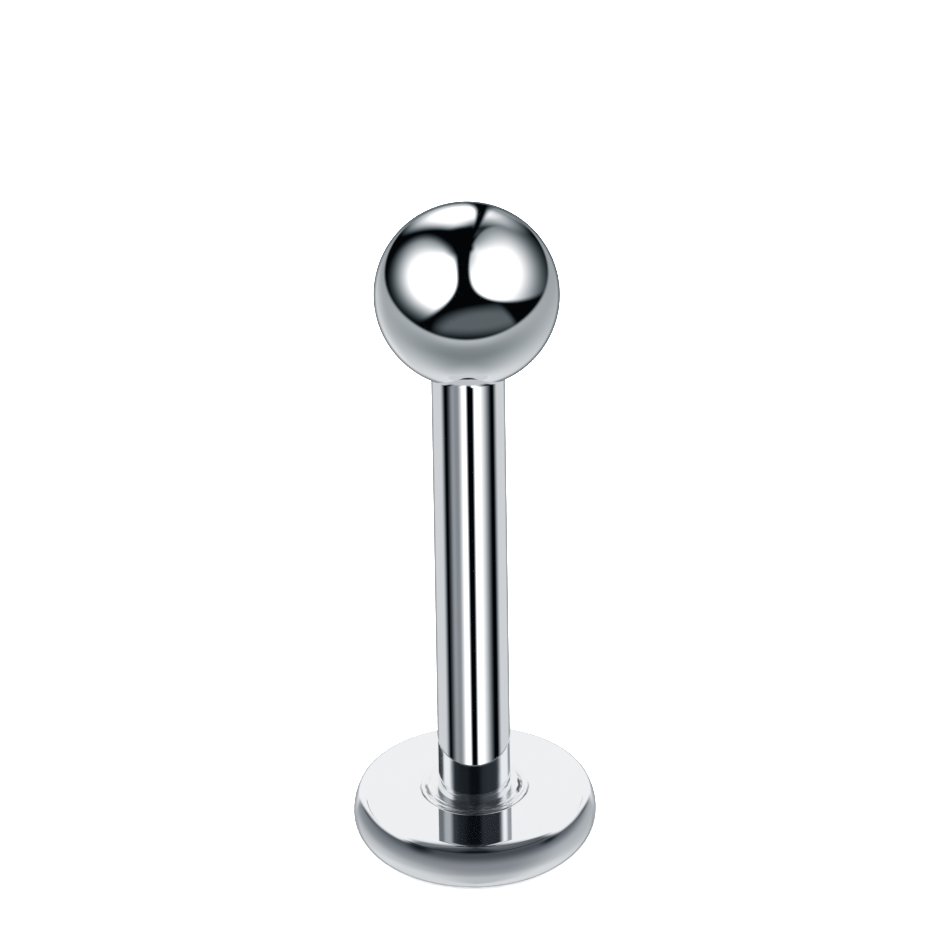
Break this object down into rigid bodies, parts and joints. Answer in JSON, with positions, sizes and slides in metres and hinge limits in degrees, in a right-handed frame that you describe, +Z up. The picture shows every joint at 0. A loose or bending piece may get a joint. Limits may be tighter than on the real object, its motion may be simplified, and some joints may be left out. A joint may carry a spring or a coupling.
{
  "type": "labret stud",
  "caption": "Straight labret stud: a polished steel bar welded to a flat round base disc, with a threaded ball that screws on the other end.",
  "frame": {"origin": "centre of the base disc's flat underside, which the stud stands on", "axes": "+Z up the bar's axis, from the disc to the ball; +X and +Y are free, because the form is round"},
  "size_m": [0.004, 0.004, 0.0118],
  "materials": {
    "post_steel": "mirror-polished surgical steel, with faint turned rings on the disc and a satin thread",
    "ball_steel": "mirror-polished surgical steel, with a satin bore"
  },
  "bodies": {
    "post": {"post": "post_steel"},
    "ball": {"ball": "ball_steel"}
  },
  "joints": [
    {"name": "ball_unscrew", "type": "slide", "parent": "post", "child": "ball", "axis": [0, 0, 1], "range_m": [0, 0.01]}
  ]
}
